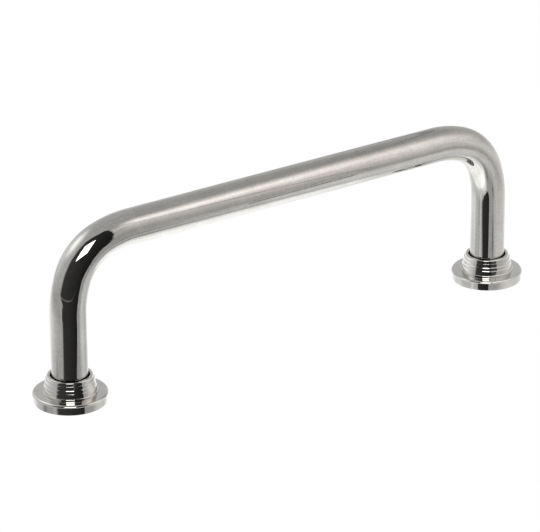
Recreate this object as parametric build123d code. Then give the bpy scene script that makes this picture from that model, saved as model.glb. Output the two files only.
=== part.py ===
from build123d import *
import math
import os

# A bridge pull handle: one round bar bent twice into a bridge, with each leg standing in a
# turned rosette. The mounting face is the plane Z = 0, the grip runs along X, and the origin
# lies midway between the legs on the mounting face. All sizes are in millimetres.

# The bent bar
bar_diameter = 9.0
hole_spacing = 128.0  # leg axis to leg axis
grip_height = 41.0  # mounting face to the centreline of the grip
bend_radius = 13.4  # on the centreline of the bar, at the middle of each bend
run_in_radius = 26.0  # where the bend starts and ends, as the bar leaves the bending roller
run_in_angle = 19.0  # degrees turned in each run-in
leg_end_chamfer = 0.4

# The tapped hole in each leg end, cut to the outside diameter of its thread
thread_diameter = 4.0
thread_depth = 12.0
thread_mouth_chamfer = 0.4
drill_point_angle = 118.0  # included angle of the cone that the drill leaves

# The flange of the rosette: a straight wall under a thin overhanging lip
flange_wall_diameter = 17.9
flange_height = 2.65
flange_foot_chamfer = 0.08
lip_overhang = 0.33
lip_thickness = 0.6
lip_rounding = 0.28

# The low plinth on the flange, which has a straight wall
plinth_diameter = 13.4
plinth_height = 0.5
plinth_rounding = 0.12

# The tapered rings of the hub, from the lowest up: diameter at the top, height and rounding
# of the top edge. Each one leaves a fine ledge on the one below it.
ring_taper = 9.0  # degrees between a ring's wall and the axis
lower_ring_diameter = 12.74
lower_ring_height = 1.22
lower_ring_rounding = 0.06
middle_ring_diameter = 12.36
middle_ring_height = 0.83
middle_ring_rounding = 0.09
upper_ring_diameter = 11.9
upper_ring_height = 0.9
upper_ring_rounding = 0.15
rim_diameter = 11.2
rim_height = 0.9
rim_rounding = 0.3

# The seat of the leg inside the rosette, and the way through for its screw
seat_clearance = 0.35  # on the radius, round the leg
seat_mouth_chamfer = 0.1
seat_floor = 1.2  # metal left between the leg's end and the mounting face
screw_clearance = 0.25  # on the radius, round the thread's outside diameter
screw_hole_chamfer = 0.2

leg_x = hole_spacing / 2
seat_diameter = bar_diameter + 2 * seat_clearance
screw_hole_diameter = thread_diameter + 2 * screw_clearance


def grip_path():
    """The centreline of the bar: up one leg, along the grip and down the other."""
    turn = math.radians(run_in_angle)
    bend_width = run_in_radius * (1 - math.cos(turn) + math.sin(turn))
    bend_width += bend_radius * (math.cos(turn) - math.sin(turn))
    grip_end = leg_x - bend_width
    leg_top = grip_height - bend_width
    arcs = [
        (run_in_radius, run_in_angle),
        (bend_radius, 90 - 2 * run_in_angle),
        (run_in_radius, run_in_angle),
    ]
    runs = [
        Line((-leg_x, seat_floor), (-leg_x, leg_top)),
        Line((-grip_end, grip_height), (grip_end, grip_height)),
    ]
    path = Curve()
    for run in runs:
        path += run
        last = run
        for radius, angle in arcs:
            last = JernArc(last @ 1, last % 1, radius, -angle)
            path += last
    path += Line((leg_x, leg_top), (leg_x, seat_floor))
    return Plane.XZ * path


def tapped_hole():
    """A blind hole that opens downwards at the origin, with a drill point at its bottom."""
    radius = thread_diameter / 2
    point_height = radius / math.tan(math.radians(drill_point_angle / 2))
    outline = Polyline(
        (0, 0),
        (radius + thread_mouth_chamfer, 0),
        (radius, thread_mouth_chamfer),
        (radius, thread_depth),
        (0, thread_depth + point_height),
        close=True,
    )
    return revolve(Plane.XZ * make_face(outline), Axis.Z)


def handle_bar():
    """The bent bar, with a chamfered end and a tapped hole on each leg."""
    section = Plane((-leg_x, 0, seat_floor)) * Circle(bar_diameter / 2)
    bar = sweep(section, path=grip_path())
    end_edges = bar.edges().group_by(Axis.Z)[0]
    bar = chamfer(end_edges, leg_end_chamfer)
    hole = tapped_hole()
    for x in (-leg_x, leg_x):
        bar -= Pos(x, 0, seat_floor) * hole
    return bar


def flange_disc():
    """The flange, with its outline walked from the foot over the lip to the axis."""
    wall_radius = flange_wall_diameter / 2
    lip_radius = wall_radius + lip_overhang
    lip_underside = flange_height - lip_thickness
    lip_middle = flange_height - lip_rounding
    lip_lower = lip_underside + lip_rounding
    foot = Polyline(
        (0, 0),
        (wall_radius - flange_foot_chamfer, 0),
        (wall_radius, flange_foot_chamfer),
        (wall_radius, lip_underside),
        (lip_radius - lip_rounding, lip_underside),
    )
    lower_round = CenterArc((lip_radius - lip_rounding, lip_lower), lip_rounding, -90, 90)
    edge = Line((lip_radius, lip_lower), (lip_radius, lip_middle))
    upper_round = CenterArc((lip_radius - lip_rounding, lip_middle), lip_rounding, 0, 90)
    top = Polyline((lip_radius - lip_rounding, flange_height), (0, flange_height), (0, 0))
    outline = foot + lower_round + edge + upper_round + top
    return revolve(Plane.XZ * make_face(outline), Axis.Z)


def turned_step(diameter, height, rounding, taper, base):
    """One step of the stack, which stands at base: its top has the diameter, and is rounded."""
    top_radius = diameter / 2
    foot_radius = top_radius + height * math.tan(math.radians(taper))
    outline = Polyline(
        (0, base),
        (foot_radius, base),
        (top_radius, base + height),
        (0, base + height),
        close=True,
    )
    step = revolve(Plane.XZ * make_face(outline), Axis.Z)
    return fillet(step.edges().group_by(Axis.Z)[-1], rounding)


def seat_bore(top):
    """The counterbore for the leg, from its floor to the rim, with the screw's way below it."""
    seat_radius = seat_diameter / 2
    hole_radius = screw_hole_diameter / 2
    outline = Polyline(
        (0, 0),
        (hole_radius + screw_hole_chamfer, 0),
        (hole_radius, screw_hole_chamfer),
        (hole_radius, seat_floor),
        (seat_radius, seat_floor),
        (seat_radius, top - seat_mouth_chamfer),
        (seat_radius + seat_mouth_chamfer, top),
        (0, top),
        close=True,
    )
    return revolve(Plane.XZ * make_face(outline), Axis.Z)


def rosette():
    """The turned rosette, standing on the mounting face with its axis through the origin."""
    body = flange_disc()
    level = flange_height
    steps = [
        (plinth_diameter, plinth_height, plinth_rounding, 0),
        (lower_ring_diameter, lower_ring_height, lower_ring_rounding, ring_taper),
        (middle_ring_diameter, middle_ring_height, middle_ring_rounding, ring_taper),
        (upper_ring_diameter, upper_ring_height, upper_ring_rounding, ring_taper),
        (rim_diameter, rim_height, rim_rounding, ring_taper),
    ]
    for diameter, height, rounding, taper in steps:
        body += turned_step(diameter, height, rounding, taper, level)
        level += height
    return body - seat_bore(level)


os.makedirs("parts", exist_ok=True)
export_step(handle_bar(), "parts/handle_bar.step")
turned_rosette = rosette()
for name, x in (("left_rosette", -leg_x), ("right_rosette", leg_x)):
    export_step(Pos(x, 0, 0) * turned_rosette, f"parts/{name}.step")
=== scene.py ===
import math

import bmesh
import bpy
from mathutils import Matrix, Vector


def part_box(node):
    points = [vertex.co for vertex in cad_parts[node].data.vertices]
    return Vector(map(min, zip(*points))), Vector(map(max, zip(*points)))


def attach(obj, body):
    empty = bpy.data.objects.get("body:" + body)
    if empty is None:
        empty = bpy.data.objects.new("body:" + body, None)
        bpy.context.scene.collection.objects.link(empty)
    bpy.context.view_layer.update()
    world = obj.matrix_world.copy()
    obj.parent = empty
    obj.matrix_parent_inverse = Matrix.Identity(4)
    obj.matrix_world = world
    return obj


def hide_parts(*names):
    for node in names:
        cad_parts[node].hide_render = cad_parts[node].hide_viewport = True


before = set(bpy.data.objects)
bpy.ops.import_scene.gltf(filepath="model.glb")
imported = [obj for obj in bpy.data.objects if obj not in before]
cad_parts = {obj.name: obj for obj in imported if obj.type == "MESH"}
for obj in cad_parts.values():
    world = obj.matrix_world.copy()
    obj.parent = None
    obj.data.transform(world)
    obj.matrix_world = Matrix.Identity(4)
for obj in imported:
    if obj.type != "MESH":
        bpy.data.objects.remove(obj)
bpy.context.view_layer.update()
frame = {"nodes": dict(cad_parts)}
mm = 0.001  # metres in a millimetre
print("frame loaded:", ", ".join(frame["nodes"]))


def linearColour(hexText):
    channels = [int(hexText[i : i + 2], 16) / 255 for i in (1, 3, 5)]
    return [c / 12.92 if c <= 0.04045 else ((c + 0.055) / 1.055) ** 2.4 for c in channels] + [1.0]


def addNode(tree, kind, inputs=None, **settings):
    node = tree.nodes.new(kind)
    for name, value in settings.items():
        setattr(node, name, value)
    for name, value in (inputs or {}).items():
        if isinstance(value, bpy.types.NodeSocket):
            tree.links.new(value, node.inputs[name])
        else:
            node.inputs[name].default_value = value
    return node


def newMaterial(name):
    material = bpy.data.materials.new(name)
    material.use_nodes = True
    material.node_tree.nodes.clear()
    return material, material.node_tree


def dress(piece, material):
    piece.data.materials.clear()
    piece.data.materials.append(material)


def nothingSelected():
    if bpy.context.object and bpy.context.object.mode != "OBJECT":
        bpy.ops.object.mode_set(mode="OBJECT")
    bpy.ops.object.select_all(action="DESELECT")


def copyAcross(piece, name, distance):
    nothingSelected()
    piece.select_set(True)
    bpy.context.view_layer.objects.active = piece
    bpy.ops.object.duplicate()
    twin = bpy.context.object
    twin.name = name
    bpy.ops.transform.translate(value=(distance, 0, 0))
    bpy.ops.object.transform_apply(location=True, rotation=True, scale=True)
    return twin


# The bent bar, as its solid has it, in finer facets so that reflections run smoothly round the bends
barSize = {
    "diameter": 9.0 * mm,
    "gripHeight": 41.0 * mm,  # centreline of the grip
    "bendRadius": 13.4 * mm,  # in the middle of a bend
    "runInRadius": 26.0 * mm,  # where a bend starts and ends
    "runInAngle": 19.0,  # degrees
    "endChamfer": 0.4 * mm,
    "hole": 4.0 * mm,
    "holeDepth": 12.0 * mm,
    "holeChamfer": 0.4 * mm,
    "pointAngle": 118.0,  # of the drill
    "pointScale": 0.01,  # how far the last ring is drawn in before it closes to a point
    "facets": 128,
    "step": 1.0,  # degrees of bend from ring to ring
    "mergeWithin": 0.0005 * mm,
    "smoothUnder": 30.0,  # degrees between faces
}
legX = (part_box("handle_bar")[1].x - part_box("handle_bar")[0].x - barSize["diameter"]) / 2
runIn = math.radians(barSize["runInAngle"])
bendWidth = barSize["runInRadius"] * (1 - math.cos(runIn) + math.sin(runIn))
bendWidth += barSize["bendRadius"] * (math.cos(runIn) - math.sin(runIn))
gripEnd = legX - bendWidth
legTop = barSize["gripHeight"] - bendWidth


# Bright nickel plate on drawn steel bar, buffed lengthways: a mirror with a slightly warm
# grey cast, faint polishing lines along the bar and a little haze where it was handled.
barPlating = {
    "palest": "#D3D1CD",
    "darkest": "#B7B5B1",
    "roughness": (0.012, 0.05),  # clean plate, and plate with a film on it
    "speckle": 0.6 * mm,  # fine grain where the plating follows the drawn surface
    "lineWidth": 0.4 * mm,  # real buffing lines are ten times finer, too fine to show
    "lineLength": 18 * mm,
    "lineDepth": 0.0012 * mm,
    "rippleWidth": 3.5 * mm,  # the steel's own ripple, left by drawing and bending
    "rippleStretch": 0.45,  # its grain across the bar as a share of its length
    "rippleDepth": 0.006 * mm,
    "hazeSize": 9 * mm,
    "filmFrom": (0.45, 0.75),  # haze at which a film starts, and at which it is full
    "toneShares": {"haze": 0.35, "lines": 0.3, "speckle": 0.35},
    "toneRange": (0.35, 0.65),  # where the darkest and the palest tone are reached
}


def barMaterial():
    material, tree = newMaterial("buffedNickelPlate")
    place = addNode(tree, "ShaderNodeTexCoord").outputs["Object"]
    axes = addNode(tree, "ShaderNodeSeparateXYZ", {"Vector": place}).outputs
    # the bar laid out straight: how far along it, how far across it and how far from its centreline
    outwards = addNode(tree, "ShaderNodeMath", {0: axes["X"]}, operation="ABSOLUTE").outputs[0]
    side = addNode(tree, "ShaderNodeMath", {0: axes["X"]}, operation="SIGN").outputs[0]
    pastGrip = addNode(tree, "ShaderNodeMath", {0: outwards, 1: gripEnd}, operation="SUBTRACT").outputs[0]
    pastGrip = addNode(tree, "ShaderNodeMath", {0: pastGrip, 1: 0.0}, operation="MAXIMUM").outputs[0]
    aboveLeg = addNode(tree, "ShaderNodeMath", {0: axes["Z"], 1: legTop}, operation="SUBTRACT").outputs[0]
    aboveLeg = addNode(tree, "ShaderNodeMath", {0: aboveLeg, 1: 0.0}, operation="MAXIMUM").outputs[0]
    turned = addNode(tree, "ShaderNodeMath", {0: pastGrip, 1: aboveLeg}, operation="ARCTAN2").outputs[0]
    onGrip = addNode(tree, "ShaderNodeMath", {0: outwards, 1: gripEnd}, operation="MINIMUM").outputs[0]
    downLeg = addNode(tree, "ShaderNodeMath", {0: legTop, 1: axes["Z"]}, operation="SUBTRACT").outputs[0]
    downLeg = addNode(tree, "ShaderNodeMath", {0: downLeg, 1: 0.0}, operation="MAXIMUM").outputs[0]
    along = addNode(
        tree, "ShaderNodeMath", {0: turned, 1: bendWidth, 2: onGrip}, operation="MULTIPLY_ADD"
    ).outputs[0]
    along = addNode(tree, "ShaderNodeMath", {0: along, 1: downLeg}, operation="ADD").outputs[0]
    along = addNode(tree, "ShaderNodeMath", {0: along, 1: side}, operation="MULTIPLY").outputs[0]
    corner = addNode(tree, "ShaderNodeCombineXYZ", {"X": pastGrip, "Y": aboveLeg}).outputs[0]
    radial = addNode(tree, "ShaderNodeVectorMath", {0: corner}, operation="LENGTH").outputs["Value"]
    straight = addNode(tree, "ShaderNodeCombineXYZ", {"X": along, "Y": axes["Y"], "Z": radial}).outputs[0]

    fine = 1 / barPlating["lineWidth"]
    long = 1 / barPlating["lineLength"]
    lineSpace = addNode(
        tree, "ShaderNodeMapping", {"Vector": straight, "Scale": (long, fine, fine)}
    ).outputs[0]
    lines = addNode(
        tree, "ShaderNodeTexNoise", {"Vector": lineSpace, "Scale": 1.0, "Detail": 3.0}
    ).outputs["Fac"]
    coarse, stretch = 1 / barPlating["rippleWidth"], barPlating["rippleStretch"]
    rippleSpace = addNode(
        tree, "ShaderNodeMapping", {"Vector": straight, "Scale": (coarse * stretch, coarse, coarse)}
    ).outputs[0]
    ripple = addNode(
        tree, "ShaderNodeTexNoise", {"Vector": rippleSpace, "Scale": 1.0, "Detail": 1.0}
    ).outputs["Fac"]
    hazeScale = 1 / barPlating["hazeSize"]
    haze = addNode(
        tree,
        "ShaderNodeTexNoise",
        {"Vector": straight, "Scale": hazeScale, "Detail": 4.0, "Roughness": 0.6, "Distortion": 0.4},
    ).outputs["Fac"]

    starts, full = barPlating["filmFrom"]
    limits = {"Value": haze, "From Min": starts, "From Max": full}
    film = addNode(tree, "ShaderNodeMapRange", limits, interpolation_type="SMOOTHSTEP").outputs["Result"]
    film = addNode(tree, "ShaderNodeMath", {0: film, 1: lines}, operation="MULTIPLY").outputs[0]
    low, high = barPlating["roughness"]
    roughness = addNode(
        tree, "ShaderNodeMapRange", {"Value": film, "To Min": low, "To Max": high}
    ).outputs["Result"]
    speckles = addNode(
        tree, "ShaderNodeTexNoise", {"Vector": straight, "Scale": 1 / barPlating["speckle"], "Detail": 2.0}
    ).outputs["Fac"]
    share = barPlating["toneShares"]
    shade = addNode(tree, "ShaderNodeMath", {0: haze, 1: share["haze"]}, operation="MULTIPLY").outputs[0]
    shade = {0: lines, 1: share["lines"], 2: shade}
    shade = addNode(tree, "ShaderNodeMath", shade, operation="MULTIPLY_ADD").outputs[0]
    shade = {0: speckles, 1: share["speckle"], 2: shade}
    shade = addNode(tree, "ShaderNodeMath", shade, operation="MULTIPLY_ADD").outputs[0]
    tone = addNode(tree, "ShaderNodeValToRGB", {"Fac": shade})
    stops = tone.color_ramp.elements
    stops[0].position, stops[1].position = barPlating["toneRange"]
    stops[0].color, stops[1].color = (linearColour(barPlating[k]) for k in ("darkest", "palest"))
    bump = addNode(
        tree, "ShaderNodeBump", {"Height": ripple, "Distance": barPlating["rippleDepth"]}
    ).outputs[0]
    bump = addNode(
        tree, "ShaderNodeBump", {"Height": lines, "Distance": barPlating["lineDepth"], "Normal": bump}
    ).outputs[0]
    shader = addNode(
        tree,
        "ShaderNodeBsdfPrincipled",
        {"Base Color": tone.outputs["Color"], "Metallic": 1.0, "Roughness": roughness, "Normal": bump},
    )
    addNode(tree, "ShaderNodeOutputMaterial", {"Surface": shader.outputs["BSDF"]})
    return material


def nextRing(shift, scale=1.0, about=(0, 0, 0)):
    bpy.ops.mesh.extrude_edges_move(TRANSFORM_OT_translate={"value": shift})
    if scale != 1.0:
        bpy.ops.transform.resize(value=(scale, scale, 1), center_override=about)


def selectRing(mesh, centre, radius, height, within=0.004 * mm):
    ring = bmesh.from_edit_mesh(mesh)
    for element in list(ring.faces) + list(ring.edges) + list(ring.verts):
        element.select = False
    for edge in ring.edges:
        ends = [(math.hypot(v.co.x - centre, v.co.y), v.co.z) for v in edge.verts]
        edge.select = all(abs(r - radius) < within and abs(z - height) < within for r, z in ends)
    ring.select_flush(True)
    bmesh.update_edit_mesh(mesh)


def bendBar(name):
    size = barSize
    radius, chamfer = size["diameter"] / 2, size["endChamfer"]
    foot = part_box("handle_bar")[0].z
    endRadius = radius - chamfer
    nothingSelected()
    bpy.ops.mesh.primitive_circle_add(vertices=size["facets"], radius=endRadius, location=(-legX, 0, foot))
    piece = bpy.context.object
    piece.name = name
    bpy.ops.object.transform_apply(location=True, rotation=True, scale=True)
    bpy.ops.object.mode_set(mode="EDIT")
    bpy.ops.mesh.select_mode(type="EDGE")
    bpy.ops.mesh.select_all(action="SELECT")
    nextRing((0, 0, chamfer), radius / endRadius, (-legX, 0, foot + chamfer))
    nextRing((0, 0, legTop - foot - chamfer))
    leg = Vector((-legX, 0, legTop))
    turned = 0.0
    middle = 90 - 2 * size["runInAngle"]
    arcs = [(size["runInRadius"], size["runInAngle"]), (size["bendRadius"], middle)]
    arcs.append(arcs[0])
    for bend in range(2):
        for arcRadius, angle in arcs:
            inwards = Vector((math.cos(turned), 0, -math.sin(turned)))
            centre = leg + inwards * arcRadius
            turn = math.radians(angle)
            bpy.ops.mesh.spin(steps=round(angle / size["step"]), angle=-turn, center=centre, axis=(0, 1, 0))
            turned += turn
            leg = centre - Vector((math.cos(turned), 0, -math.sin(turned))) * arcRadius
        if bend == 0:
            nextRing((2 * gripEnd, 0, 0))
            leg.x += 2 * gripEnd
    nextRing((0, 0, foot + chamfer - legTop))
    nextRing((0, 0, -chamfer), endRadius / radius, (legX, 0, foot))
    hole, mouth = size["hole"] / 2, size["hole"] / 2 + size["holeChamfer"]
    point = hole / math.tan(math.radians(size["pointAngle"] / 2))
    for x in (legX, -legX):
        selectRing(piece.data, x, endRadius, foot)
        nextRing((0, 0, 0), mouth / endRadius, (x, 0, foot))
        nextRing((0, 0, size["holeChamfer"]), hole / mouth, (x, 0, foot + size["holeChamfer"]))
        nextRing((0, 0, size["holeDepth"] - size["holeChamfer"]))
        nextRing((0, 0, point), size["pointScale"], (x, 0, foot + size["holeDepth"] + point))
        bpy.ops.mesh.merge(type="CENTER")
    bpy.ops.mesh.select_all(action="SELECT")
    bpy.ops.mesh.remove_doubles(threshold=size["mergeWithin"])
    bpy.ops.mesh.normals_make_consistent(inside=False)
    bpy.ops.object.mode_set(mode="OBJECT")
    bpy.ops.object.shade_smooth_by_angle(angle=math.radians(size["smoothUnder"]))
    return piece


bar = bendBar("handleBar")
dress(bar, barMaterial())
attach(bar, "root")
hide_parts("handle_bar")
print("bar bent and plated")


# The turned rosette, as its solid has it, in finer facets so that its edges glint cleanly
rosetteSize = {
    "facets": 256,
    "wall": 17.9 * mm,  # diameters, from the foot up
    "lip": 18.56 * mm,
    "footChamfer": 0.08 * mm,
    "lipUnderside": 2.05 * mm,
    "lipRounding": 0.15 * mm,
    "lipTilts": range(-80, 1, 8),  # degrees, up the rounding to the rim
    "flangeTop": 2.65 * mm,
    "taper": 9.0,  # degrees, on the plinth and the rings
    "edges": [  # diameter and height at the top, radius of the edge, and its tilt where it starts and ends
        (17.63 * mm, 2.65 * mm, 0.75 * mm, 22, 72),
        (13.2 * mm, 3.15 * mm, 0.4 * mm, 22, 56),
        (12.6 * mm, 4.37 * mm, 1.6 * mm, 22, 32),
        (12.15 * mm, 5.20 * mm, 1.0 * mm, 24, 37),
        (11.78 * mm, 6.10 * mm, 0.025 * mm, 20, 70),
        (10.88 * mm, 7.00 * mm, 0.45 * mm, 18, 60),
    ],
    "seat": 9.7 * mm,
    "seatFloor": 1.2 * mm,
    "seatChamfer": 0.1 * mm,
    "screwHole": 4.5 * mm,
    "screwChamfer": 0.2 * mm,
    "edgeStep": 6,  # degrees of an edge from ring to ring
    "mergeWithin": 0.001 * mm,
    "smoothUnder": 8.5,  # degrees between faces: just over an edge's own step
}


def turnRosette(name, centre):
    size = rosetteSize
    nothingSelected()
    start = size["screwHole"] / 2 + size["screwChamfer"]
    bpy.ops.mesh.primitive_circle_add(vertices=size["facets"], radius=start, location=(centre, 0, 0))
    piece = bpy.context.object
    piece.name = name
    bpy.ops.object.transform_apply(location=True, rotation=True, scale=True)
    wall, lip, seat, hole = (size[k] / 2 for k in ("wall", "lip", "seat", "screwHole"))
    underside, lipRounding, chamfer = size["lipUnderside"], size["lipRounding"], size["seatChamfer"]
    outline = [(wall - size["footChamfer"], 0), (wall, size["footChamfer"]), (wall, underside)]
    for tilt in size["lipTilts"]:
        along, up = math.cos(math.radians(tilt)), math.sin(math.radians(tilt))
        outline.append((lip - lipRounding * (1 - along), underside + lipRounding * (1 + up)))
    slope = 0.0  # the first edge runs straight on from the lip's rounding
    for diameter, top, rounding, first, last in size["edges"]:
        sine = [math.sin(math.radians(tilt)) for tilt in (first, last)]
        low = top - rounding * (sine[1] - sine[0])
        spread = [math.cos(math.radians(tilt)) for tilt in (first, last)]
        outer = diameter / 2 + rounding * (spread[0] - spread[1])
        if slope:
            outline.append((outer + (low - foot) * slope, foot))
        steps = math.ceil((last - first) / size["edgeStep"])
        for step in range(steps + 1):
            tilt = math.radians(first + (last - first) * step / steps)
            inwards = rounding * (math.cos(math.radians(first)) - math.cos(tilt))
            outline.append((outer - inwards, low + rounding * (math.sin(tilt) - sine[0])))
        foot, slope = top, math.tan(math.radians(size["taper"]))
    outline += [(seat + chamfer, foot), (seat, foot - chamfer), (seat, size["seatFloor"])]
    outline += [(hole, size["seatFloor"]), (hole, size["screwChamfer"]), (start, 0)]
    bpy.ops.object.mode_set(mode="EDIT")
    bpy.ops.mesh.select_all(action="SELECT")
    radius, height = start, 0.0
    for nextRadius, nextHeight in outline:
        nextRing((0, 0, nextHeight - height), nextRadius / radius, (centre, 0, nextHeight))
        radius, height = nextRadius, nextHeight
    bpy.ops.mesh.select_all(action="SELECT")
    bpy.ops.mesh.remove_doubles(threshold=size["mergeWithin"])
    bpy.ops.mesh.normals_make_consistent(inside=False)
    bpy.ops.object.mode_set(mode="OBJECT")
    bpy.ops.object.shade_smooth_by_angle(angle=math.radians(size["smoothUnder"]))
    return piece


# Bright nickel plate on a blank turned from the bar end: the same mirror, with fine rings
# round its axis from the lathe, which stretch each glint a little across them.
rosettePlating = {
    "palest": "#D4D2CE",
    "darkest": "#C7C5C1",
    "roughness": (0.012, 0.045),
    "ringWidth": 0.22 * mm,  # real feed marks are about 0.05 mm, too fine to show
    "ringDepth": 0.00035 * mm,
    "hazeSize": 4 * mm,
    "filmFrom": (0.45, 0.75),  # as on the bar
    "toneShares": {"haze": 0.5, "rings": 0.5},
    "toneRange": (0.35, 0.65),
}


def rosetteMaterial():
    material, tree = newMaterial("turnedNickelPlate")
    place = addNode(tree, "ShaderNodeTexCoord").outputs["Object"]
    axes = addNode(tree, "ShaderNodeSeparateXYZ", {"Vector": place}).outputs
    outwards = addNode(tree, "ShaderNodeMath", {0: axes["X"]}, operation="ABSOLUTE").outputs[0]
    fromAxis = addNode(tree, "ShaderNodeMath", {0: outwards, 1: legX}, operation="SUBTRACT").outputs[0]
    flat = addNode(tree, "ShaderNodeCombineXYZ", {"X": fromAxis, "Y": axes["Y"]}).outputs[0]
    radius = addNode(tree, "ShaderNodeVectorMath", {0: flat}, operation="LENGTH").outputs["Value"]
    section = addNode(tree, "ShaderNodeCombineXYZ", {"X": radius, "Y": axes["Z"]}).outputs[0]
    rings = addNode(
        tree,
        "ShaderNodeTexNoise",
        {"Vector": section, "Scale": 1 / rosettePlating["ringWidth"], "Detail": 2.0},
        noise_dimensions="2D",
    ).outputs["Fac"]
    haze = addNode(
        tree, "ShaderNodeTexNoise", {"Vector": place, "Scale": 1 / rosettePlating["hazeSize"], "Detail": 4.0}
    ).outputs["Fac"]
    starts, full = rosettePlating["filmFrom"]
    limits = {"Value": haze, "From Min": starts, "From Max": full}
    film = addNode(tree, "ShaderNodeMapRange", limits, interpolation_type="SMOOTHSTEP").outputs["Result"]
    low, high = rosettePlating["roughness"]
    roughness = addNode(
        tree, "ShaderNodeMapRange", {"Value": film, "To Min": low, "To Max": high}
    ).outputs["Result"]
    share = rosettePlating["toneShares"]
    shade = addNode(tree, "ShaderNodeMath", {0: haze, 1: share["haze"]}, operation="MULTIPLY").outputs[0]
    shade = {0: rings, 1: share["rings"], 2: shade}
    shade = addNode(tree, "ShaderNodeMath", shade, operation="MULTIPLY_ADD").outputs[0]
    tone = addNode(tree, "ShaderNodeValToRGB", {"Fac": shade})
    stops = tone.color_ramp.elements
    stops[0].position, stops[1].position = rosettePlating["toneRange"]
    stops[0].color, stops[1].color = (linearColour(rosettePlating[k]) for k in ("darkest", "palest"))
    bump = addNode(
        tree, "ShaderNodeBump", {"Height": rings, "Distance": rosettePlating["ringDepth"]}
    ).outputs[0]
    shader = addNode(
        tree,
        "ShaderNodeBsdfPrincipled",
        {"Base Color": tone.outputs["Color"], "Metallic": 1.0, "Roughness": roughness, "Normal": bump},
    )
    addNode(tree, "ShaderNodeOutputMaterial", {"Surface": shader.outputs["BSDF"]})
    return material


leftRosette = turnRosette("leftRosette", -legX)
rightRosette = copyAcross(leftRosette, "rightRosette", 2 * legX)
turnedNickel = rosetteMaterial()
for piece, node in ((leftRosette, "left_rosette"), (rightRosette, "right_rosette")):
    dress(piece, turnedNickel)
    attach(piece, "root")
    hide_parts(node)
print("rosettes turned")


# The M4 thread in the end of each leg, which its solid has as a plain hole
threadSize = {
    "pitch": 0.7 * mm,
    "turns": 15,
    "steps": 48,  # in a turn
    "root": 2.03 * mm,  # radii: the ridge's foot is just inside the wall
    "crest": 1.65 * mm,
    "rootWidth": 0.64 * mm,
    "crestWidth": 0.1 * mm,
    "start": 1.95 * mm,  # above the mounting face
    "mergeWithin": 0.0005 * mm,
    "smoothUnder": 35.0,  # degrees between faces
}

# Thin nickel on a thread cut with a tap: duller and darker than the buffed outside
threadPlating = {
    "crest": "#BDB9B3",
    "root": "#8E8A84",
    "roughness": (0.22, 0.4),
    "tearSize": 0.12 * mm,  # where the tap tore the steel
    "tearDepth": 0.01 * mm,
    "tearStrength": 0.5,
}


def cutThread(name, centre):
    size = threadSize
    nothingSelected()
    bpy.ops.mesh.primitive_plane_add(size=1, location=(centre, 0, size["start"]))
    piece = bpy.context.object
    piece.name = name
    bpy.ops.object.mode_set(mode="EDIT")
    bpy.ops.mesh.select_all(action="SELECT")
    bpy.ops.transform.rotate(
        value=math.radians(90), orient_axis="X", center_override=(centre, 0, size["start"])
    )
    depth = size["root"] - size["crest"]
    bpy.ops.transform.resize(value=(depth, 1, size["rootWidth"]), center_override=(centre, 0, size["start"]))
    middle = (size["root"] + size["crest"]) / 2
    bpy.ops.transform.translate(value=(middle, 0, 0))
    profile = bmesh.from_edit_mesh(piece.data)
    for vertex in profile.verts:
        vertex.select = vertex.co.x < middle
    profile.select_flush(True)
    profile.select_flush(False)
    bmesh.update_edit_mesh(piece.data)
    narrow = size["crestWidth"] / size["rootWidth"]
    bpy.ops.transform.resize(value=(1, 1, narrow), center_override=(centre, 0, size["start"]))
    bpy.ops.object.mode_set(mode="OBJECT")
    bpy.ops.object.modifier_add(type="SCREW")
    screw = piece.modifiers[-1]
    screw.axis = "Z"
    screw.angle = 2 * math.pi
    screw.screw_offset = size["pitch"]
    screw.iterations = size["turns"]
    screw.steps = screw.render_steps = size["steps"]
    screw.use_merge_vertices = False
    bpy.ops.object.modifier_apply(modifier=screw.name)
    bpy.ops.object.transform_apply(location=True, rotation=True, scale=True)
    bpy.ops.object.mode_set(mode="EDIT")
    bpy.ops.mesh.select_all(action="SELECT")
    bpy.ops.mesh.remove_doubles(threshold=size["mergeWithin"])
    bpy.ops.mesh.fill_holes(sides=4)
    bpy.ops.mesh.normals_make_consistent(inside=False)
    bpy.ops.object.mode_set(mode="OBJECT")
    bpy.ops.object.shade_smooth_by_angle(angle=math.radians(size["smoothUnder"]))
    return piece


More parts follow.
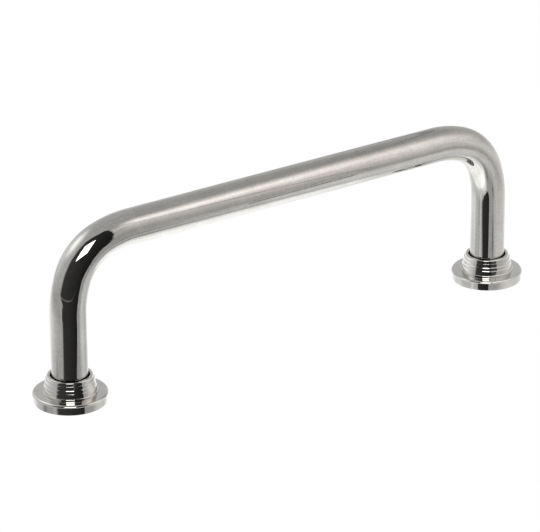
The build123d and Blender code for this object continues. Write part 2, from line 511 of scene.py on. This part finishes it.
def threadMaterial():
    material, tree = newMaterial("tappedNickelPlate")
    place = addNode(tree, "ShaderNodeTexCoord").outputs["Object"]
    axes = addNode(tree, "ShaderNodeSeparateXYZ", {"Vector": place}).outputs
    outwards = addNode(tree, "ShaderNodeMath", {0: axes["X"]}, operation="ABSOLUTE").outputs[0]
    fromAxis = addNode(tree, "ShaderNodeMath", {0: outwards, 1: legX}, operation="SUBTRACT").outputs[0]
    flat = addNode(tree, "ShaderNodeCombineXYZ", {"X": fromAxis, "Y": axes["Y"]}).outputs[0]
    radius = addNode(tree, "ShaderNodeVectorMath", {0: flat}, operation="LENGTH").outputs["Value"]
    ends = {"Value": radius, "From Min": threadSize["crest"], "From Max": threadSize["root"]}
    depth = addNode(tree, "ShaderNodeMapRange", ends).outputs["Result"]
    tears = addNode(
        tree, "ShaderNodeTexNoise", {"Vector": place, "Scale": 1 / threadPlating["tearSize"], "Detail": 3.0}
    ).outputs["Fac"]
    # the tone runs darker from the crest of the thread to its root
    tone = addNode(tree, "ShaderNodeValToRGB", {"Fac": depth})
    stops = tone.color_ramp.elements
    stops[0].color, stops[1].color = (linearColour(threadPlating[k]) for k in ("crest", "root"))
    low, high = threadPlating["roughness"]
    roughness = addNode(
        tree, "ShaderNodeMapRange", {"Value": tears, "To Min": low, "To Max": high}
    ).outputs["Result"]
    bump = {
        "Height": tears,
        "Distance": threadPlating["tearDepth"],
        "Strength": threadPlating["tearStrength"],
    }
    bump = addNode(tree, "ShaderNodeBump", bump).outputs[0]
    shader = addNode(
        tree,
        "ShaderNodeBsdfPrincipled",
        {"Base Color": tone.outputs["Color"], "Metallic": 1.0, "Roughness": roughness, "Normal": bump},
    )
    addNode(tree, "ShaderNodeOutputMaterial", {"Surface": shader.outputs["BSDF"]})
    return material


leftThread = cutThread("leftThread", -legX)
rightThread = copyAcross(leftThread, "rightThread", 2 * legX)
tappedNickel = threadMaterial()
for piece in (leftThread, rightThread):
    dress(piece, tappedNickel)
    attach(piece, "root")
print("threads cut")


# Light tent: white cloth lit from outside, with an opening towards the camera. All its
# directions are seen from the object, as azimuth from the camera's side and elevation.
# Its numbers weren't all chosen by hand. Over half of the cloth's brightness and of the glows
# are a least-squares program's output, rounded. The opening's edges were traced by a program,
# then thinned and adjusted. The seams and the window lie in directions that a program measured.
cameraAzimuth = -34.94  # solved by a program, as the camera's other values are

tent = {
    "radius": 190 * mm,
    "centre": (0, 0, 22 * mm),
    "facets": (96, 48),  # round it, and from top to bottom
    "cloth": [  # height on the tent, from -1 below to 1 above, and brightness of the bare cloth
        (-1.0, 1.55),
        (-0.78, 1.45),
        (-0.71, 0.95),
        (-0.60, 0.72),
        (-0.50, 0.50),
        (-0.40, 0.32),
        (-0.30, 0.45),
        (-0.15, 0.55),
        (0.20, 0.60),
        (0.60, 0.60),
        (1.0, 0.53),
    ],
    "glows": {  # azimuth, elevation, width and height in mm, and brightness added by each lamp or shade
        "leftLamp": (-94, 37, 90, 65, 1.10),
        "leftWall": (-112, 15, 135, 105, 0.40),
        "leftBack": (-159, 9, 55, 60, 0.32),
        "leftTable": (-135, -19, 310, 60, 0.83),
        "rightLamp": (67, 49, 120, 55, 0.70),
        "rightLampEnd": (60, 55, 60, 40, 0.30),
        "rightLampSide": (93, 35, 75, 62, 0.16),
        "rightSide": (108, 4, 110, 50, 0.22),
        "rightWall": (90, 32, 140, 140, 0.53),
        "rightBack": (157, -12, 235, 95, 0.75),
        "backSeam": (163, 7, 75, 16, 0.34),
        "backShade": (132, 48, 185, 75, -0.15),
        "frontTable": (6, -50, 125, 50, 1.05),
        "frontShade": (20, 1, 155, 75, -0.30),
        "tableShade": (32, -46, 195, 50, -0.70),
        "cardShade": (-72, -24, 30, 26, -0.30),
        "rightTable": (89, -22, 190, 43, 0.50),
        "openingRim": (49, 31, 35, 40, 0.23),
        "cornerShade": (49, -24, 62, 12, -0.32),
        "rightFloor": (85, -32, 130, 46, 0.27),
        "sillLeft": (-49, -31, 32, 60, 0.35),
        "tableLeft": (-118, -29, 85, 48, 0.25),
        "tableFront": (-78, -31, 60, 30, 0.10),
        "backTable": (180, -36, 170, 50, 0.50),
    },
    "seams": [  # normal, offset, heights where it is strongest and where it ends, half width, darkening
        ((0, 1, 0.21), -0.285, 0.5, -0.3, 0.012, 0.45),
        ((1, 0, -0.6), -0.045, 0.5, 0.9, 0.016, 0.35),
    ],
    "warmth": (78, 32, 260, 240),  # where the cloth is tinted by the warmer lamp on the right
    "warmTint": "#FFFAF8",
}
opening = {  # height on the tent, and how far to the right its edge is, both from -1 to 1
    "left": [(-0.60, -0.25), (-0.50, -0.49), (-0.46, -0.53), (-0.42, -0.61), (-0.37, -0.65), (-0.34, -0.62)]
    + [(-0.267, -0.60), (-0.26, -0.77), (-0.17, -0.82), (-0.15, -0.62), (-0.12, -0.63), (-0.04, -0.77)]
    + [(0.0, -0.81), (0.21, -0.79), (0.44, -0.72), (0.65, -0.58), (0.78, -0.45), (0.85, -0.28), (0.91, 0.0)],
    "right": [
        (-0.60, 0.15), (-0.52, 0.33), (-0.47, 0.36), (-0.43, 0.58),
        (-0.37, 0.58), (-0.28, 0.55), (-0.25, 0.64)
    ]
    + [(-0.18, 0.61), (-0.10, 0.66), (0.0, 0.67), (0.22, 0.62), (0.53, 0.48), (0.72, 0.33), (0.81, 0.22)]
    + [(0.88, 0.11), (0.91, 0.0)],
    "softLeft": 0.08,
    "softRight": 0.025,
    "sill": -0.59,
    "softSill": 0.03,
    "rail": 0.14,  # brightness of the thin rail that runs across the opening
    "railHeight": -0.185,
    "railHalfWidth": 0.008,
    "railSlope": 0.2,  # downhill from the left edge to the middle
    "railFades": (-0.3, 0.3),  # across: full up to the first, gone at the second
    "dusk": 0.04,  # brightness of the dark room beyond its left side
    "duskFades": (-0.9, 0.5),
}


def tentCloth():
    material, tree = newMaterial("tentCloth")
    place = addNode(tree, "ShaderNodeTexCoord").outputs["Object"]
    turn = {
        "Vector": place,
        "Rotation": (0, 0, math.radians(-cameraAzimuth)),
        "Scale": (1 / tent["radius"],) * 3,
    }
    turned = addNode(tree, "ShaderNodeMapping", turn).outputs["Vector"]
    axes = addNode(tree, "ShaderNodeSeparateXYZ", {"Vector": turned}).outputs
    height = addNode(
        tree, "ShaderNodeMath", {0: axes["Z"], 1: 0.5, 2: 0.5}, operation="MULTIPLY_ADD"
    ).outputs[0]
    across = addNode(
        tree, "ShaderNodeMath", {0: axes["X"], 1: 0.5, 2: 0.5}, operation="MULTIPLY_ADD"
    ).outputs[0]

    bare = addNode(tree, "ShaderNodeFloatCurve", {"Value": height})
    leftEdge = addNode(tree, "ShaderNodeFloatCurve", {"Value": height})
    rightEdge = addNode(tree, "ShaderNodeFloatCurve", {"Value": height})
    # a curve's values run from 0 to 1, so the cloth's brightness goes through its curve halved
    halved = [(z, brightness - 1) for z, brightness in tent["cloth"]]
    for node, points in ((bare, halved), (leftEdge, opening["left"]), (rightEdge, opening["right"])):
        curve = node.mapping.curves[0]
        for index, (x, y) in enumerate(points):
            if index < 2:  # a new curve has two points
                curve.points[index].location = (x / 2 + 0.5, y / 2 + 0.5)
            else:
                curve.points.new(x / 2 + 0.5, y / 2 + 0.5)
        for point in curve.points:
            point.handle_type = "AUTO" if node == bare else "VECTOR"
        node.mapping.update()
    light = addNode(tree, "ShaderNodeMath", {0: bare.outputs[0], 1: 2.0}, operation="MULTIPLY").outputs[0]

    spots = dict(tent["glows"], warmth=tent["warmth"] + (0.0,))
    for name, (azimuth, elevation, width, tall, brightness) in spots.items():
        a, e = math.radians(azimuth), math.radians(elevation)
        centre = (math.sin(a) * math.cos(e), -math.cos(a) * math.cos(e), math.sin(e))
        wide, high = width * mm / tent["radius"], tall * mm / tent["radius"]
        local = {
            "Vector": turned,
            "Location": centre,
            "Rotation": (0, 0, a),
            "Scale": (wide, max(wide, high), high),
        }
        local = addNode(tree, "ShaderNodeMapping", local, vector_type="TEXTURE").outputs["Vector"]
        spot = addNode(
            tree, "ShaderNodeTexGradient", {"Vector": local}, gradient_type="SPHERICAL"
        ).outputs["Fac"]
        spot = addNode(
            tree, "ShaderNodeMapRange", {"Value": spot}, interpolation_type="SMOOTHSTEP"
        ).outputs["Result"]
        if name == "warmth":
            warmth = spot
        else:
            brighter = {0: spot, 1: brightness, 2: light}
            light = addNode(tree, "ShaderNodeMath", brighter, operation="MULTIPLY_ADD").outputs[0]
    onRight = addNode(tree, "ShaderNodeMath", {0: axes["X"], 1: 0.0}, operation="GREATER_THAN").outputs[0]
    for normal, offset, starts, ends, halfWidth, darkening in tent["seams"]:
        gap = addNode(
            tree, "ShaderNodeVectorMath", {0: turned, 1: normal}, operation="DOT_PRODUCT"
        ).outputs["Value"]
        line = addNode(
            tree, "ShaderNodeMath", {0: gap, 1: offset, 2: halfWidth}, operation="COMPARE"
        ).outputs[0]
        reach = {"Value": axes["Z"], "From Min": ends, "From Max": starts}
        reach = addNode(tree, "ShaderNodeMapRange", reach, interpolation_type="SMOOTHSTEP").outputs["Result"]
        line = addNode(tree, "ShaderNodeMath", {0: line, 1: reach}, operation="MULTIPLY").outputs[0]
        line = addNode(tree, "ShaderNodeMath", {0: line, 1: onRight}, operation="MULTIPLY").outputs[0]
        kept = addNode(tree, "ShaderNodeMapRange", {"Value": line, "To Min": 1.0, "To Max": 1 - darkening})
        light = addNode(
            tree, "ShaderNodeMath", {0: light, 1: kept.outputs["Result"]}, operation="MULTIPLY"
        ).outputs[0]
    light = addNode(tree, "ShaderNodeMath", {0: light, 1: 0.0}, operation="MAXIMUM").outputs[0]

    # each soft edge spans a quarter of its width to either side, since across is halved as well
    inside = []
    for edge, sign, soft in ((leftEdge, 1, opening["softLeft"]), (rightEdge, -1, opening["softRight"])):
        gap = addNode(
            tree, "ShaderNodeMath", {0: across, 1: edge.outputs[0]}, operation="SUBTRACT"
        ).outputs[0]
        limits = {"Value": gap, "From Min": -sign * soft / 4, "From Max": sign * soft / 4}
        inside.append(addNode(
            tree, "ShaderNodeMapRange", limits, interpolation_type="SMOOTHSTEP"
        ).outputs["Result"])
    sill, soft = opening["sill"], opening["softSill"]
    limits = {"Value": axes["Z"], "From Min": sill - soft / 2, "From Max": sill + soft / 2}
    inside.append(addNode(
        tree, "ShaderNodeMapRange", limits, interpolation_type="SMOOTHSTEP"
    ).outputs["Result"])
    inside.append(addNode(tree, "ShaderNodeMath", {0: axes["Y"], 1: 0.0}, operation="LESS_THAN").outputs[0])
    hole = 1.0
    for part in inside:
        hole = addNode(tree, "ShaderNodeMath", {0: part, 1: hole}, operation="MULTIPLY").outputs[0]

    leftward = addNode(tree, "ShaderNodeMath", {0: axes["X"], 1: 0.0}, operation="MINIMUM").outputs[0]
    rail = {0: leftward, 1: opening["railSlope"], 2: axes["Z"]}
    rail = addNode(tree, "ShaderNodeMath", rail, operation="MULTIPLY_ADD").outputs[0]
    rail = {0: rail, 1: opening["railHeight"], 2: opening["railHalfWidth"]}
    rail = addNode(tree, "ShaderNodeMath", rail, operation="COMPARE").outputs[0]
    full, gone = opening["railFades"]
    railEnd = {"Value": axes["X"], "From Min": gone, "From Max": full}
    railEnd = addNode(tree, "ShaderNodeMapRange", railEnd).outputs["Result"]
    rail = addNode(tree, "ShaderNodeMath", {0: rail, 1: railEnd}, operation="MULTIPLY").outputs[0]
    full, gone = opening["duskFades"]
    dusk = {"Value": axes["X"], "From Min": gone, "From Max": full, "To Max": opening["dusk"]}
    dusk = addNode(tree, "ShaderNodeMapRange", dusk).outputs["Result"]
    rail = {0: rail, 1: opening["rail"], 2: dusk}
    railGlow = addNode(tree, "ShaderNodeMath", rail, operation="MULTIPLY_ADD").outputs[0]

    tint = addNode(tree, "ShaderNodeValToRGB", {"Fac": warmth})
    tint.color_ramp.elements[0].color = (1, 1, 1, 1)
    tint.color_ramp.elements[1].color = linearColour(tent["warmTint"])
    glow = addNode(tree, "ShaderNodeEmission", {"Color": tint.outputs["Color"], "Strength": light})
    clear = addNode(tree, "ShaderNodeBsdfTransparent")
    railLight = addNode(tree, "ShaderNodeEmission", {"Strength": railGlow})
    seen = addNode(tree, "ShaderNodeAddShader", {0: clear.outputs[0], 1: railLight.outputs[0]})
    mixed = addNode(tree, "ShaderNodeMixShader", {0: hole, 1: glow.outputs[0], 2: seen.outputs[0]})
    addNode(tree, "ShaderNodeOutputMaterial", {"Surface": mixed.outputs["Shader"]})
    return material


def plainLight(name, brightness):
    material, tree = newMaterial(name)
    glow = addNode(tree, "ShaderNodeEmission", {"Strength": brightness})
    addNode(tree, "ShaderNodeOutputMaterial", {"Surface": glow.outputs["Emission"]})
    return material


nothingSelected()
around, down = tent["facets"]
bpy.ops.mesh.primitive_uv_sphere_add(
    segments=around, ring_count=down, radius=tent["radius"], location=tent["centre"]
)
tentDome = bpy.context.object
tentDome.name = "lightTent"
bpy.ops.object.shade_smooth()
dress(tentDome, tentCloth())
print("tent up")


# Window beyond the opening: upright, and seen from the left bend as a small bright panel
window = {
    "azimuth": 1.5,
    "distance": 700 * mm,
    "from": (-57 * mm, -3 * mm, 38 * mm),
    "low": 30.5,  # elevations of its sill and its head
    "high": 54.2,
    "width": 490 * mm,
    "lean": -7.5,  # degrees, in its own plane
    "brightness": 3.5,
}


def direction(azimuth, elevation):
    a, e = math.radians(azimuth + cameraAzimuth), math.radians(elevation)
    return Vector((math.sin(a) * math.cos(e), -math.cos(a) * math.cos(e), math.sin(e)))


def upright(name, width, height, middle, facing, lean, material):
    nothingSelected()
    bpy.ops.mesh.primitive_plane_add(size=1)
    card = bpy.context.object
    card.name = name
    turn = Matrix.Rotation(math.radians(facing), 4, "Z") @ Matrix.Rotation(math.radians(90), 4, "X")
    turn = turn @ Matrix.Rotation(math.radians(lean), 4, "Z")
    card.matrix_world = Matrix.Translation(middle) @ turn @ Matrix.Diagonal((width, height, 1, 1))
    dress(card, material)
    card.visible_camera = False
    card.visible_shadow = False
    return card


windowLow = math.tan(math.radians(window["low"])) * window["distance"]
windowHigh = math.tan(math.radians(window["high"])) * window["distance"]
windowMiddle = Vector(window["from"]) + direction(window["azimuth"], 0) * window["distance"]
windowMiddle.z += (windowLow + windowHigh) / 2
windowPanel = upright(
    "window",
    window["width"],
    windowHigh - windowLow,
    windowMiddle,
    cameraAzimuth + window["azimuth"],
    window["lean"],
    plainLight("windowLight", window["brightness"]),
)

# Small cards inside the tent, close to the legs: they trim the dark stripes in the legs and hubs
cards = {  # ends across and towards the camera, top and bottom, in mm, and brightness
    "lowRightCard": ((65, 110), (123, 96), -17, -80, 0.50),
    "highRightCard": ((65, 110), (123, 96), 20, -2, 0.50),
    "leftCard": ((-97, 68), (-82, 83), 14, 0, 0.55),
    "blackCard": ((78, 43), (111, 24), 0.5, -5, 0.07),
}
toCamera, rightward = direction(0, 0), direction(90, 0)
for name, (fromEnd, toEnd, top, bottom, brightness) in cards.items():
    ends = [rightward * x * mm + toCamera * y * mm for x, y in (fromEnd, toEnd)]
    middle = (ends[0] + ends[1]) / 2 + Vector((0, 0, (top + bottom) / 2 * mm))
    run = ends[1] - ends[0]
    facing = math.degrees(math.atan2(run.y, run.x))
    cloth = plainLight(name + "Cloth", brightness)
    upright(name, run.length, (top - bottom) * mm, middle, facing, 0, cloth)

# Floor: seamless white paper, blown out to white, and clear from below
floorSize = 8.0  # metres
nothingSelected()
bpy.ops.mesh.primitive_plane_add(size=floorSize, location=(0, 0, 0))
floor = bpy.context.object
floor.name = "floor"
paper, tree = newMaterial("whitePaper")
backside = addNode(tree, "ShaderNodeNewGeometry").outputs["Backfacing"]
glow = addNode(tree, "ShaderNodeEmission", {"Strength": 1.0})
clear = addNode(tree, "ShaderNodeBsdfTransparent")
mixed = addNode(tree, "ShaderNodeMixShader", {0: backside, 1: glow.outputs[0], 2: clear.outputs[0]})
addNode(tree, "ShaderNodeOutputMaterial", {"Surface": mixed.outputs[0]})
dress(floor, paper)
floor.visible_glossy = False
tentDome.visible_camera = False
tentDome.visible_shadow = False

room = {"behind": 1.0, "around": 0.025}  # brightness straight behind the handle, and of what it reflects
world = bpy.data.worlds.new("darkRoom")
bpy.context.scene.world = world
world.use_nodes = True
tree = world.node_tree
tree.nodes.clear()
straightOn = addNode(tree, "ShaderNodeLightPath").outputs["Is Camera Ray"]
strength = {"Value": straightOn, "To Min": room["around"], "To Max": room["behind"]}
strength = addNode(tree, "ShaderNodeMapRange", strength).outputs["Result"]
sky = addNode(tree, "ShaderNodeBackground", {"Strength": strength})
addNode(tree, "ShaderNodeOutputWorld", {"Surface": sky.outputs["Background"]})
bpy.context.scene.view_settings.view_transform = "Standard"
print("stage lit")


shot = {
    "elevation": 23.12,
    "roll": -0.38,
    "distance": 869.5 * mm,
    "aim": (-4.07 * mm, 17.69 * mm),  # how far the line of sight passes to the right of and above the origin
    "lens": 230.4,
    "clipEnd": 20,  # metres
}
back = direction(0, shot["elevation"])
right = Vector((0, 0, 1)).cross(back).normalized()
up = back.cross(right)
bpy.ops.object.camera_add()
camera = bpy.context.object
camera.name = "camera"
camera.data.lens = shot["lens"]
place = right * shot["aim"][0] + up * shot["aim"][1] + back * shot["distance"]
turn = Matrix((right, up, back)).transposed().to_4x4()
camera.matrix_world = Matrix.Translation(place) @ turn @ Matrix.Rotation(math.radians(shot["roll"]), 4, "Z")
camera.data.clip_end = shot["clipEnd"]
bpy.context.scene.camera = camera
print("camera placed")
